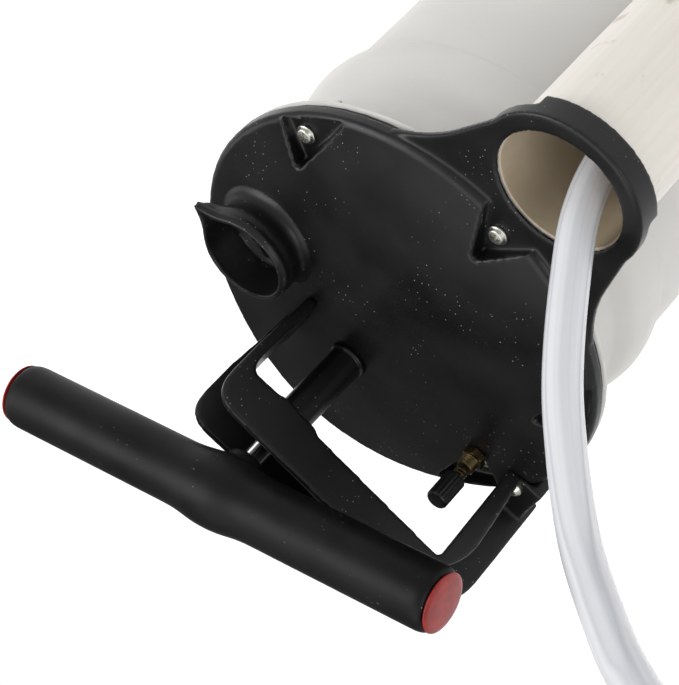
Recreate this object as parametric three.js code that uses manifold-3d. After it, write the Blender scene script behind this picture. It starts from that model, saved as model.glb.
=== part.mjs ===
// Hand vacuum fluid extractor: a translucent tank with a black lid, a piston pump worked by a
// T-handle, a carry handle, a pour spout, a relief valve and a hose kept in a side tube.
// Millimetres, +Z up. The tank axis is the Z axis, the floor is z = 0, the side tube is at -Y.
import * as THREE from 'three';
import { mergeVertices } from 'three/addons/utils/BufferGeometryUtils.js';
import Module from 'manifold-3d';

const wasm = await Module();
wasm.setup();
const { clamp, degToRad, euclideanModulo, radToDeg } = THREE.MathUtils;

// ---- driving dimensions ----
const lidRadius = 103.5;
const rimZ = 360;                  // height of the lid's lower edge above the floor
const lidEdge = 6.6;               // height of the lid's edge wall at the front
const edgeLift = 6;                // how much higher that wall stands at the back
const crestLift = 5.6;             // and how much more on its crest, which lies at crestAngle
const crestAngle = 98;
const crestWidth = 55;             // degrees to either side
const domeRise = 10.5;             // from the edge wall up to the middle of the lid
const lidWall = 3;
const lidSides = 72;
const ledge = 3.5;                 // top of the lobe and floor of the screw pockets, above rimZ
const gap = 0.3;                   // clearance where two pieces rest on or sit in each other
const running = 0.05;              // radial clearance of a running fit

const flangeRadius = 102.5;        // tank
const flangeThick = 3.6;
const neckRadius = 87.5;
const tankRadius = 90.6;
const bulgeRadius = 95.2;
const tankWall = 2.2;
const tankFloor = 6;               // underside of the tank above the floor
const tankSides = 56;
const gasketThick = 1.5;

const tubeY = -140;                // hose storage tube
const tubeRadius = 31.5;
const tubeBore = 28.9;
const ringRadius = 38.3;
const ringSkirt = 13;

const pumpX = -5.7;                // pump axis
const pumpY = 48;
const rodRadius = 5;
const guideRadius = 8.6;
const barrelRadius = 22;
const barrelBore = 19.6;
const barrelBottom = 95;           // height of the lower end of the barrel

const gripRadius = 15.25;
const gripLength = 241;
const gripZ = rimZ + 108;
const gripAngle = degToRad(41.3);

const handleAngle = degToRad(8.3); // carry handle, about Z
const handleDepth = 31;            // front face to back face
const handlePlate = 4;
const handleTop = 87.5;            // above rimZ

const screwCircle = 91;
const sideScrew = 24.5;            // side screws, in degrees from the X axis
const spoutScrew = 46;             // the screw behind the spout
const backScrew = 97;
const screwAngles = [-90, -sideScrew, spoutScrew, backScrew, 180 - sideScrew, sideScrew - 180];
const screwHole = 2.3;             // radius

const spoutX = 60.9;
const spoutY = 27.8;
const spoutRadius = 22;
const spoutTop = 32;               // above rimZ
const lipAngle = degToRad(-3.4);

const valveX = -75.5;              // relief valve
const valveY = 27;
const valveThread = 3;

const hoseRadius = 8;
const hoseWall = 1.6;

// ---- materials ----
const paint = (color, roughness, metalness = 0) =>
  new THREE.MeshStandardMaterial({ color, roughness, metalness });
const blackPlastic = paint(0x1d1d1f, 0.5);
const blackRubber = paint(0x141414, 0.85);
const tankPlastic = paint(0xd8d6d4, 0.45);
const tubePlastic = paint(0xe8e4de, 0.5);
const hosePlastic = paint(0xcdced2, 0.3);
const redPlastic = paint(0xa0231e, 0.45);
const whiteNylon = paint(0xe6e4dc, 0.5);
const greyPlastic = paint(0x8c8f92, 0.5);
const zinc = paint(0xb4b4ae, 0.35, 0.9);
const steel = paint(0xc6c8ca, 0.25, 1);
const brass = paint(0x9a7a3c, 0.35, 0.9);

// ---- geometry helpers ----
const object = new THREE.Group();
object.name = 'fluid_extractor';

const v2 = (x, y) => new THREE.Vector2(x, y);
const v3 = (x, y, z) => new THREE.Vector3(x, y, z);
const polar = (radius, degrees) => {
  const a = degToRad(degrees);
  return v2(radius * Math.cos(a), radius * Math.sin(a));
};

// a closed three.js geometry as a manifold solid with its faces outward
function solid(geometry) {
  const bare = new THREE.BufferGeometry();
  bare.setAttribute('position', geometry.getAttribute('position'));
  if (geometry.index) bare.setIndex(geometry.index);
  const merged = mergeVertices(bare, 1e-4);
  const p = merged.getAttribute('position').array;
  const faces = [];
  let volume = 0;
  for (let i = 0; i < merged.index.count; i += 3) {
    const [a, b, c] = [0, 1, 2].map((k) => merged.index.getX(i + k));
    if (a === b || b === c || c === a) continue;
    faces.push([a, b, c]);
    const [pa, pb, pc] = [a, b, c].map((k) => v3(p[3 * k], p[3 * k + 1], p[3 * k + 2]));
    volume += pa.dot(pb.cross(pc));
  }
  const triVerts = faces.flatMap(([a, b, c]) => (volume > 0 ? [a, b, c] : [a, c, b]));
  return new wasm.Manifold(new wasm.Mesh({
    numProp: 3,
    vertProperties: new Float32Array(p),
    triVerts: new Uint32Array(triVerts),
  }));
}

// profile points are [radius, z]; the solid is turned about Z at (x, y)
function turned(profile, { x = 0, y = 0, z = 0, sides = 24 } = {}) {
  const points = profile.map(([r, h]) => v2(r, h));
  const hasBore = profile[0][0] > 0;
  if (hasBore) points.push(points[0].clone());
  const geometry = new THREE.LatheGeometry(points, sides);
  geometry.rotateX(Math.PI / 2);
  geometry.translate(x, y, z);
  return solid(geometry);
}

const disc = (radius, z0, z1, at) =>
  turned([[0, z0], [radius, z0], [radius, z1], [0, z1]], at);
const ring = (inner, outer, z0, z1, at) =>
  turned([[inner, z0], [outer, z0], [outer, z1], [inner, z1]], at);

// a flat outline in XY raised from z0 to z1
function raised(shape, z0, z1, steps = 12) {
  const geometry = new THREE.ExtrudeGeometry(shape, {
    depth: z1 - z0, bevelEnabled: false, curveSegments: steps,
  });
  geometry.translate(0, 0, z0);
  return solid(geometry);
}

function box(x0, x1, y0, y1, z0, z1) {
  const geometry = new THREE.BoxGeometry(x1 - x0, y1 - y0, z1 - z0);
  geometry.translate((x0 + x1) / 2, (y0 + y1) / 2, (z0 + z1) / 2);
  return solid(geometry);
}

function circleShape(radius, steps) {
  const points = [];
  for (let i = 0; i < steps; i += 1) points.push(polar(radius, (360 * i) / steps));
  return new THREE.Shape(points);
}

// a tube swept along a curve; inner = 0 gives a solid rod
function swept(curve, outer, inner, steps, sides) {
  const shape = circleShape(outer, sides);
  if (inner > 0) shape.holes.push(new THREE.Path(circleShape(inner, sides).getPoints().reverse()));
  return solid(new THREE.ExtrudeGeometry(shape, { steps, extrudePath: curve, bevelEnabled: false }));
}

// turns a body about Z, in radians, then moves it
function place(body, { turn = 0, x = 0, y = 0, z = 0 } = {}) {
  return body.rotate([0, 0, radToDeg(turn)]).translate([x, y, z]);
}

function subtractAll(body, cuts) {
  return cuts.reduce((rest, cut) => rest.subtract(cut), body);
}

function add(name, body, material) {
  const { vertProperties, triVerts, numProp } = body.getMesh();
  const positions = new Float32Array((vertProperties.length / numProp) * 3);
  for (let i = 0; i < positions.length / 3; i += 1) {
    for (let k = 0; k < 3; k += 1) positions[3 * i + k] = vertProperties[numProp * i + k];
  }
  const geometry = new THREE.BufferGeometry();
  geometry.setAttribute('position', new THREE.BufferAttribute(positions, 3));
  geometry.setIndex(Array.from(triVerts));
  geometry.computeVertexNormals();
  const mesh = new THREE.Mesh(geometry, material);
  mesh.name = name;
  object.add(mesh);
}

// ---- the lid's top surface ----
// a shallow dome whose edge stands higher toward the back, most of all on a crest
const domeAt = (r) => lidEdge + domeRise * (1 - (r / lidRadius) ** 2);

function backRise(x, y) {
  const r = Math.hypot(x, y);
  const outward = clamp((r / lidRadius - 0.45) / 0.55, 0, 1);
  const backward = clamp((y / Math.max(r, 1) + 0.5) / 1.3, 0, 1);
  const fromCrest = radToDeg(Math.atan2(y, x)) - crestAngle;
  const turnAway = Math.abs(euclideanModulo(fromCrest + 180, 360) - 180);
  const crest = Math.cos((Math.PI / 2) * clamp(turnAway / crestWidth, 0, 1)) ** 2;
  return (edgeLift * backward + crestLift * crest) * outward ** 1.5;
}

const topAt = (x, y) => rimZ + domeAt(Math.hypot(x, y)) + backRise(x, y);

// points of the dome from radius `from` to radius `to`, moved up by `offset`
function domeProfile(offset, from, to, steps = 5) {
  const points = [];
  for (let i = 0; i <= steps; i += 1) {
    const r = from + ((to - from) * i) / steps;
    points.push([r, domeAt(r) + offset]);
  }
  return points;
}

// turns a lid profile, measured from rimZ, and lifts its upper part toward the back
function lidTurned(profile) {
  return turned(profile, { z: rimZ, sides: lidSides }).warp((v) => {
    v[2] += backRise(v[0], v[1]) * clamp((v[2] - rimZ) / lidEdge, 0, 1);
  });
}

// everything below the dome moved up by `offset`
const belowDome = (offset, radius = lidRadius) =>
  lidTurned([...domeProfile(offset, 0, radius), [radius, 0], [radius, -60], [0, -60]]);

// ---- places shared by several pieces ----
const atPump = { x: pumpX, y: pumpY };
const atValve = { x: valveX, y: valveY };
const screwPoints = screwAngles.map((angle) => polar(screwCircle, angle));
const screwHoles = (z0, z1) =>
  screwPoints.map(({ x, y }) => disc(screwHole, z0, z1, { x, y, sides: 10 }));

// a point of the carry handle's foot, from its distance along the crossbar and behind the front
const handleOrigin = v2(27.4, 33.1);
const handlePoint = (s, depth) => v2(s, depth).rotateAround(v2(0, 0), handleAngle).add(handleOrigin);
const leftFootScrew = handlePoint(-125.5, 8.6);
const rightFootScrew = handlePoint(-1.4, handleDepth / 2);

// ---- base, tank and storage tube ----
function makeBase() {
  const footRadius = 99;
  const tankSocket = 92;
  const wallTop = 24;
  const floorTop = tankFloor - gap;
  const tubeSocket = tubeRadius + gap;
  const foot = turned([[0, 0], [footRadius, 0], [footRadius, 5], [tankSocket + 3.5, wallTop],
    [tankSocket, wallTop], [tankSocket, floorTop], [0, floorTop]], { sides: tankSides });
  const tubeCup = disc(tubeSocket + 4.5, 0, 30, { y: tubeY });
  const web = box(-22, 22, tubeY, -80, 0, 18);
  return subtractAll(foot.add(tubeCup).add(web), [
    disc(tubeSocket, 4, 31, { y: tubeY }),
    disc(tankSocket, floorTop, 40, { sides: tankSides }),
    ring(60, 84, -1, 2, { sides: tankSides }),
  ]);
}

function makeTank() {
  const top = rimZ - gasketThick - 2 * gap;
  const neckTop = top - flangeThick;
  const shoulder = rimZ - 30;
  const heel = 14;
  // the bulge below the neck, from the step at its lower edge up
  const bulge = [[tankRadius, shoulder - 36.5], [tankRadius + 2.2, shoulder - 33],
    [bulgeRadius - 1, shoulder - 28], [bulgeRadius, shoulder - 21],
    [bulgeRadius - 1.6, shoulder - 12], [tankRadius - 1, shoulder - 5]];
  const outer = [[0, tankFloor], [tankRadius - 6.6, tankFloor], [tankRadius - 2.1, tankFloor + 2],
    [tankRadius, heel], ...bulge, [neckRadius, shoulder], [neckRadius, neckTop - 2],
    [neckRadius + 2, neckTop], [flangeRadius, neckTop], [flangeRadius, top], [0, top]];
  const inside = tankRadius - tankWall;
  const neckInside = neckRadius - tankWall;
  const floor = tankFloor + tankWall + 0.3;
  const inner = [[0, floor], [inside - 6.4, floor], [inside, heel + 2],
    ...bulge.map(([r, z]) => [r - tankWall, z]), [neckInside, shoulder],
    [neckInside, top + 1], [0, top + 1]];
  const shell = turned(outer, { sides: tankSides }).subtract(turned(inner, { sides: tankSides }));
  return subtractAll(shell, screwHoles(neckTop - 1, top + 1));
}

const makeStorageTube = () =>
  ring(tubeBore, tubeRadius, 4 + gap, rimZ + ledge - 2 - gap, { y: tubeY, sides: 36 });

// ---- lid ----
// outline of the lobe that carries the storage tube: it leaves the lid in two hollow curves
function lobeOutline() {
  const rootX = 62;
  const rootY = -Math.sqrt(lidRadius ** 2 - rootX ** 2);
  const waist = v2(44, -118);
  const bend = v2(48.5, -99);
  const shape = new THREE.Shape();
  shape.moveTo(rootX, rootY);
  shape.quadraticCurveTo(bend.x, bend.y, waist.x, waist.y);
  shape.lineTo(ringRadius, tubeY);
  shape.absarc(0, tubeY, ringRadius, 0, -Math.PI, true);
  shape.lineTo(-waist.x, waist.y);
  shape.quadraticCurveTo(-bend.x, bend.y, -rootX, rootY);
  return shape;
}

// triangular outline whose outer side lies along the lid's edge, with a rounded inner corner;
// `grow` moves its other two sides out by that much
function pocketOutline({ apexRadius, outerRadius, apexAngle, from, to }, grow = 0) {
  const apex = polar(apexRadius, apexAngle);
  const left = polar(outerRadius, from);
  const right = polar(outerRadius, to);
  const leftOut = left.clone().sub(apex).rotateAround(v2(0, 0), -Math.PI / 2).normalize();
  const rightOut = right.clone().sub(apex).rotateAround(v2(0, 0), Math.PI / 2).normalize();
  apex.addScaledVector(leftOut.clone().add(rightOut), grow / (1 + leftOut.dot(rightOut)));
  left.addScaledVector(leftOut, grow);
  right.addScaledVector(rightOut, grow);
  const nearLeft = apex.clone().lerp(left, 0.12);
  const nearRight = apex.clone().lerp(right, 0.12);
  const shape = new THREE.Shape([left, nearLeft]);
  shape.quadraticCurveTo(apex.x, apex.y, nearRight.x, nearRight.y);
  shape.lineTo(right.x, right.y);
  return shape;
}

// the front pocket, which opens onto the lobe, and the side pocket, which has a rim left outside
// it and is used in its four mirrored places less the one at the spout
const frontPocket = {
  apexRadius: 74, outerRadius: lidRadius * 1.03, apexAngle: -91, from: -98.2, to: -81.8,
};
const sidePocket = {
  apexRadius: 77.5, outerRadius: lidRadius - 1.5, apexAngle: 17.6, from: 21.3, to: 42.5,
};

function pocketBodies(z0, z1, grow) {
  const front = raised(pocketOutline(frontPocket, grow), z0, z1, 4);
  const side = raised(pocketOutline(sidePocket, grow), z0, z1, 4);
  const wells = [2, 3].map((i) => disc(5.6 + grow, z0, z1, {
    x: screwPoints[i].x, y: screwPoints[i].y,
  }));
  return [front, side.scale([1, -1, 1]), side.scale([-1, 1, 1]), side.scale([-1, -1, 1]), ...wells];
}

// pulls the top of a round body out to a point toward +X; `reach` is the pull at the very top
// and `depth` the height over which it fades
function pourLip(body, reach, depth) {
  const halfWidth = degToRad(10);
  return body.warp((v) => {
    const r = Math.hypot(v[0], v[1]);
    if (r < 1) return;
    const turn = Math.abs(Math.atan2(v[1], v[0]));
    const fade = 1 - clamp((spoutTop - v[2]) / depth, 0, 1) ** 1.5;
    const longer = 1 + (reach * Math.exp(-turn / halfWidth) * fade) / r;
    v[0] *= longer;
    v[1] *= longer;
  });
}

// the spout's neck with its pointed lip, and the bore that is cut through it and the lid
function makeSpout() {
  const wall = 2.2;
  const lipReach = 11.6;
  const bore = spoutRadius - wall;
  const drain = 14;
  const root = domeAt(Math.hypot(spoutX, spoutY));
  const fine = { sides: 72 };
  const neck = turned([[0, root - 6], [spoutRadius + 3.4, root - 6], [spoutRadius + 2, root + 3],
    [spoutRadius + 1.6, spoutTop - 12], [spoutRadius + 1.2, spoutTop - 8],
    [spoutRadius + 0.6, spoutTop - 4], [spoutRadius, spoutTop - 1], [spoutRadius - 0.2, spoutTop],
    [0, spoutTop]], fine);
  const inside = turned([[0, -20], [drain, -20], [drain, root - 4], [bore - 0.5, root + 1],
    [bore - 0.2, spoutTop - 8], [bore, spoutTop - 3], [bore, spoutTop + 1], [0, spoutTop + 1]], fine);
  const at = { turn: lipAngle, x: spoutX, y: spoutY, z: rimZ };
  return {
    outside: place(pourLip(neck, lipReach, 13), at).subtract(belowDome(-1)),
    inside: place(pourLip(inside, lipReach - 1.5, 10), at),
  };
}

// the lobe with its collar, and a deeper skirt around its outer side
function makeLobe() {
  const top = rimZ + ledge;
  const collarDrop = 7;
  const at = { y: tubeY, sides: 40 };
  const collar = disc(ringRadius, top - collarDrop, top - 0.01, at)
    .subtract(disc(flangeRadius + 1, 0, rimZ - gap, { sides: tankSides }));
  const skirt = disc(ringRadius, top - ringSkirt, top - 1, at)
    .subtract(box(-60, 60, tubeY - 20, 0, 0, rimZ * 2));
  return raised(lobeOutline(), rimZ, top).add(collar).add(skirt)
    .subtract(disc(tubeRadius + gap, 0, top - 2, at))
    .subtract(disc(tubeBore + 0.5, 0, rimZ * 2, at));
}

function makeLid() {
  const skirt = neckRadius - tankWall - 0.6;
  const skirtDepth = 12;
  const shell = lidTurned([...domeProfile(0, 0, lidRadius - 2), [lidRadius - 0.4, lidEdge - 0.9],
    [lidRadius, lidEdge - 2], [lidRadius, 0], [skirt, 0], [skirt, -skirtDepth],
    [skirt - 2.5, -skirtDepth], ...domeProfile(-lidWall, 0, skirt - 2.5, 3).toReversed()]);
  const insideLid = belowDome(-0.5, lidRadius - 1);
  const spout = makeSpout();
  const barrelSocket = ring(barrelRadius + gap, barrelRadius + 3.5, -10, 20, { ...atPump, z: rimZ });

  let lid = shell.add(barrelSocket.intersect(insideLid));
  for (const pad of pocketBodies(rimZ + 1, rimZ + 30, 2.2)) lid = lid.add(pad.intersect(insideLid));
  lid = subtractAll(lid, pocketBodies(rimZ + ledge, rimZ + 40, 0));
  lid = lid.add(makeLobe()).add(spout.outside);
  return subtractAll(lid, [
    spout.inside,
    ...screwHoles(rimZ - 1, rimZ + 20),
    disc(guideRadius + gap, rimZ - 20, rimZ + 40, atPump),
    disc(valveThread + gap, rimZ - 20, rimZ + 30, atValve),
    disc(8, rimZ - 20, rimZ + 2, atValve),
    disc(1.5, rimZ + 1, rimZ + 12, { x: leftFootScrew.x, y: leftFootScrew.y, sides: 16 }),
    disc(2, rimZ, rimZ + 20, { x: rightFootScrew.x, y: rightFootScrew.y, sides: 16 }),
  ]);
}

// ---- fasteners and seals ----
// pan head with a cross recess on a self-tapping shank; the head's underside is z = 0
function panScrew(length, { shank = 2, head = 4.2 } = {}) {
  const washer = head + 0.6;
  const body = turned([[0, -length], [0.4, -length], [shank, -length + 5], [shank, 0], [washer, 0],
    [washer, 0.8], [head, 1], [head * 0.85, 2.4], [0, 3]], { sides: 12 });
  const slot = head * 0.5;
  const cross = box(-slot, slot, -0.6, 0.6, 1.6, 4).add(box(-0.6, 0.6, -slot, slot, 1.6, 4));
  return body.subtract(cross);
}

const makeLidGasket = () => subtractAll(
  ring(neckRadius - 0.5, flangeRadius - 0.5, -gasketThick - gap, -gap, { z: rimZ, sides: tankSides }),
  screwHoles(rimZ - 5, rimZ + 5),
);

// ---- carry handle ----
// Outlines lie in the handle's own plane: s runs along the crossbar, 0 near the outer face of the
// right leg, and t is the height above rimZ. The channel opens outward and upward.
const legInside = { right: -3, left: -119.5 };
const frontOutline = { out: 2.2, flare: 1.2, corner: 16, top: 85.4, leftOut: -129.5, leftFlare: 6 };
const backOutline = { out: 6.2, flare: 2.4, corner: 14, top: 86.7, leftOut: -141.3, leftFlare: 1.3 };
const boss = { left: -41.4, right: -23, under: 62.4 };
const crossbarUnder = 68.5;        // at the left leg

function handleOutline({ out, flare, corner, top, leftOut, leftFlare }, inset = 0) {
  const outline = new THREE.Shape();
  outline.moveTo(out - flare, 0);
  outline.lineTo(out - 0.6 * flare, 32);
  outline.lineTo(out, 52);
  outline.lineTo(out, top - corner);
  outline.quadraticCurveTo(out, top, out - corner, top);
  outline.lineTo(-65, handleTop);
  outline.lineTo(leftOut + 22, handleTop);
  outline.quadraticCurveTo(leftOut, 71, leftOut, 52);
  outline.lineTo(leftOut + 0.25 * leftFlare, 36);
  outline.lineTo(leftOut + leftFlare, 0);
  // the opening under the crossbar, from the left foot round to the right foot
  const left = legInside.left - inset;
  const right = legInside.right + inset;
  outline.lineTo(left + 2, 0);
  outline.lineTo(left, crossbarUnder - 2.5 + inset);
  outline.quadraticCurveTo(left, crossbarUnder + inset, left + 3, crossbarUnder + inset);
  outline.lineTo(boss.left - 4, boss.under + 2.8 + inset);
  outline.lineTo(boss.left, boss.under + 0.8 + inset);
  outline.lineTo(boss.right, boss.under - 0.6 + inset);
  outline.lineTo(boss.right + 3, boss.under + 0.4 + inset);
  outline.lineTo(legInside.right - 6, boss.under + 0.5 + inset);
  outline.quadraticCurveTo(right, boss.under + 0.5 + inset, right, boss.under - 8);
  outline.lineTo(right - 0.8, 0);
  return outline;
}

// from the handle's plane to the object: s, depth behind the front face, t
function handlePlace(body) {
  return place(body.rotate([90, 0, 0]), {
    turn: handleAngle, x: handleOrigin.x, y: handleOrigin.y, z: rimZ,
  });
}

const leftFootTop = 12.5;          // of the solid feet, above rimZ
const rightFootTop = 24;

function makeCarryHandle() {
  const webThick = 3;
  const slab = (outline, from, to) => raised(outline, -to, -from, 8);
  const foot = (s0, s1, height) => box(s0, s1, 0, height, -handleDepth, 0);
  const frontPlate = slab(handleOutline(frontOutline), 0, handlePlate);
  const backPlate = slab(handleOutline(backOutline), handleDepth - handlePlate, handleDepth);
  // the web lines the opening from plate to plate
  const web = slab(handleOutline(frontOutline), 0, handleDepth)
    .subtract(slab(handleOutline(frontOutline, webThick), -1, handleDepth + 1));
  // the left leg's inner face has draft, so it stands further out at the back
  const draft = 2.6;
  const handle = frontPlate.add(backPlate).add(web)
    .add(foot(backOutline.leftOut + 4, legInside.left + 1, leftFootTop))
    .add(foot(legInside.right - 1, frontOutline.out - 2, rightFootTop))
    .warp((v) => {
      if (v[0] < -110 && v[0] > -123) v[0] += (draft * v[2]) / handleDepth;
    });
  return subtractAll(handlePlace(handle), [
    belowDome(gap, lidRadius + gap),
    disc(rodRadius + 1.5, rimZ, rimZ + 100, atPump),
    disc(1.6, rimZ, rimZ + 40, { x: leftFootScrew.x, y: leftFootScrew.y, sides: 16 }),
    disc(2.1, rimZ, rimZ + 32, { x: rightFootScrew.x, y: rightFootScrew.y, sides: 16 }),
  ]);
}

// ---- pump ----
const guideTop = rimZ + boss.under - 3 - gap;
const guideBottom = rimZ + 3.6;
const guideBore = rodRadius + 1.8;
const headTop = guideBottom - gap;
const barrelTop = rimZ - 2;
const pistonZ = barrelBottom + 16;
const pistonHeight = 14;
const pistonRadius = barrelBore - running - 0.05;
const sealGroove = 15;             // radius of the bottom of the seal's groove
const spigotRadius = 3.5;          // lower end of the rod, through the piston

function makeGuideTube() {
  const collar = guideRadius + 0.9;
  const seat = topAt(pumpX, pumpY - collar) + gap;
  return turned([[guideBore, guideBottom], [guideRadius, guideBottom], [guideRadius, seat],
    [collar, seat], [collar, seat + 1.2], [guideRadius, seat + 2], [guideRadius, guideTop],
    [guideBore, guideTop]], atPump);
}

const makeRodBush = () => ring(rodRadius + running, guideBore - 0.4, rimZ - 12, headTop, atPump);

const makeRodWiper = () =>
  ring(rodRadius + running + 0.04, guideBore - gap, guideTop - 6, guideTop - 1, atPump);

function makeBarrelHead() {
  const plug = barrelBore - 0.2;
  const rim = barrelRadius - 0.2;
  return turned([[guideBore, rimZ - 13], [plug, rimZ - 13], [plug, barrelTop + 2.2],
    [rim, barrelTop + 2.2], [rim, headTop], [guideBore, headTop]], atPump);
}

const makeBarrelGasket = () =>
  ring(barrelBore, barrelRadius - 0.2, barrelTop + gap, barrelTop + 1.9, atPump);
const makePumpBarrel = () => ring(barrelBore, barrelRadius, barrelBottom, barrelTop, atPump);

const footFloor = barrelBottom - 5;     // valve seat at the bottom of the barrel
const flapStem = 1.5;

function makeBarrelFoot() {
  const sleeve = barrelRadius + 3;
  const socket = barrelRadius + gap;
  const socketTop = barrelBottom + 14;
  const cup = turned([[0, footFloor - 5], [sleeve - 2, footFloor - 5], [sleeve, footFloor - 3],
    [sleeve, socketTop], [socket, socketTop], [socket, barrelBottom - gap],
    [barrelBore, barrelBottom - gap], [barrelBore, footFloor], [0, footFloor]], atPump);
  const ports = [0, 90, 180, 270].map((angle) => {
    const { x, y } = polar(6.5, angle);
    return disc(2.5, 0, footFloor + 1, { x: pumpX + x, y: pumpY + y, sides: 16 });
  });
  return subtractAll(cup, [...ports, disc(flapStem + running, 0, footFloor + 1, atPump)]);
}

function makeInletFlap() {
  const seat = footFloor + 0.05;
  const flap = 11;
  return turned([[0, seat - 8], [flapStem, seat - 8], [flapStem, seat], [flap, seat],
    [flap, seat + 1.5], [0, seat + 1.5]], atPump);
}

function makeFlapStop() {
  const hoop = ring(13.5, barrelBore - 0.2, barrelBottom, barrelBottom + 4, atPump);
  const arm = box(pumpX - 15, pumpX + 15, pumpY - 2, pumpY + 2, barrelBottom + 0.5, barrelBottom + 3.5);
  return hoop.add(arm);
}

const makePiston = () => turned([[spigotRadius + running, 0], [pistonRadius, 0], [pistonRadius, 4],
  [sealGroove, 4], [sealGroove, 10], [pistonRadius, 10], [pistonRadius, pistonHeight],
  [spigotRadius + running, pistonHeight]], { ...atPump, z: pistonZ });

// a lip seal that opens upward
function makePistonSeal() {
  const inner = sealGroove + gap;
  const lip = barrelBore - 0.04;
  return turned([[inner, 4.3], [lip, 4.3], [lip, 9.7], [lip - 1, 9.7], [lip - 1.4, 6],
    [inner + 1.3, 6], [inner + 0.9, 9.7], [inner, 9.7]], { ...atPump, z: pistonZ });
}

const makePistonWasher = () =>
  ring(spigotRadius + gap, 8, -1.4, -0.1, { ...atPump, z: pistonZ });
const makePistonNut = () => disc(6.6, pistonZ - 6, pistonZ - 1.7, { ...atPump, sides: 6 })
  .subtract(disc(spigotRadius + gap, 0, pistonZ + 1, atPump));

function makePumpRod() {
  const shoulder = pistonZ + pistonHeight + 0.1;
  const end = pistonZ - 8;
  return turned([[0, end], [spigotRadius - 0.5, end], [spigotRadius, end + 0.5],
    [spigotRadius, shoulder], [rodRadius, shoulder], [rodRadius, gripZ], [rodRadius - 1, gripZ + 1],
    [0, gripZ + 1]], atPump).subtract(makeCrossPin(pinRadius + gap, pinHole));
}

// ---- T-handle ----
const neckBottom = rimZ + 88;
const neckRadiusTop = 12;          // of the boss that holds the rod
const neckRadiusBottom = 10.5;
const pinZ = neckBottom + 4;
const pinRadius = 1.5;
const pinHole = neckRadiusTop + 3; // half length of the hole for the pin

function makeCrossPin(radius, half) {
  return place(disc(radius, -half, half, { sides: 16 }).rotate([0, 90, 0]),
    { turn: gripAngle, x: pumpX, y: pumpY, z: pinZ });
}

// a profile of [radius, distance from the pump axis] turned about the grip's own axis
const gripTurned = (profile, sides) => place(turned(profile, { sides }).rotate([0, 90, 0]),
  { turn: gripAngle, x: pumpX, y: pumpY, z: gripZ });
const capCrown = 2.2;
const gripHalf = gripLength / 2 - capCrown;
const capBore = gripRadius - 3;
const capDepth = 8;

function makeTHandle() {
  const half = [[gripRadius + 2.1, 0], [gripRadius + 1.9, 5], [gripRadius + 0.3, 17],
    [gripRadius, 22], [gripRadius, gripHalf - 3.5], [gripRadius - 0.7, gripHalf - 1.2],
    [gripRadius - 2, gripHalf], [capBore, gripHalf], [capBore, gripHalf - capDepth],
    [0, gripHalf - capDepth]];
  const mirror = half.slice(1).map(([r, z]) => [r, -z]).toReversed();
  const neck = turned([[0, neckBottom], [neckRadiusBottom - 3, neckBottom],
    [neckRadiusBottom - 0.8, neckBottom + 1.4], [neckRadiusBottom, neckBottom + 4],
    [neckRadiusTop, gripZ - 8], [neckRadiusTop, gripZ], [0, gripZ]], atPump);
  return gripTurned([...mirror, ...half], 28).add(neck)
    .subtract(disc(rodRadius + gap, 0, gripZ + 1 + gap, atPump))
    .subtract(makeCrossPin(pinRadius + gap, pinHole));
}

function makeGripCap(side) {
  const edge = gripRadius - 1.4;
  const plug = capBore - gap;
  const profile = [[0, gripHalf - capDepth + 1], [plug, gripHalf - capDepth + 1],
    [plug, gripHalf + gap], [edge, gripHalf + gap], [edge, gripHalf + 0.9],
    [edge - 1.6, gripHalf + 1.6], [edge / 2, gripHalf + capCrown - 0.1], [0, gripHalf + capCrown]];
  return gripTurned(side > 0 ? profile : profile.map(([r, z]) => [r, -z]).toReversed(), 32);
}

// ---- relief valve: push the cap down to let air into the tank ----
const valveSeat = topAt(valveX, valveY) + 0.9;
const valveBottom = rimZ - 9;
const stemRadius = 1.3;
const sleeveTop = valveSeat + 9;
const capBottom = rimZ + 29.5;
const capTop = rimZ + 45;
const stemTop = capBottom + 9;

const makeValveBody = () => turned([[stemRadius + running + 0.01, valveBottom],
  [valveThread, valveBottom], [valveThread, valveSeat], [5.8, valveSeat], [5.8, valveSeat + 3.4],
  [4.4, valveSeat + 3.8], [4.4, sleeveTop - 0.5], [3.9, sleeveTop],
  [stemRadius + running + 0.01, sleeveTop]], atValve);

const makeValveNut = () => disc(5.6, rimZ - 1.6, rimZ + 1.6, { ...atValve, sides: 6 })
  .subtract(disc(valveThread + gap, 0, rimZ + 5, atValve));

const makeValveStem = () => turned([[0, valveBottom - 4], [2, valveBottom - 4],
  [2, valveBottom - 2.6], [stemRadius, valveBottom - 2.6], [stemRadius, stemTop], [0, stemTop]],
atValve);

const makeValveDisc = () =>
  ring(stemRadius + gap, 4.6, valveBottom - 2.3, valveBottom - 0.3, atValve);

function makeValveSpring() {
  const turns = 4;
  const perTurn = 8;
  const wire = 0.45;
  const bottom = sleeveTop + 1.1;
  const top = capBottom + 1.5;
  const points = [];
  for (let i = 0; i <= turns * perTurn; i += 1) {
    const { x, y } = polar(2.7, (360 * i) / perTurn);
    points.push(v3(valveX + x, valveY + y, bottom + ((top - bottom) * i) / (turns * perTurn)));
  }
  return swept(new THREE.CatmullRomCurve3(points), wire, 0, turns * perTurn, 5);
}

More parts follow.
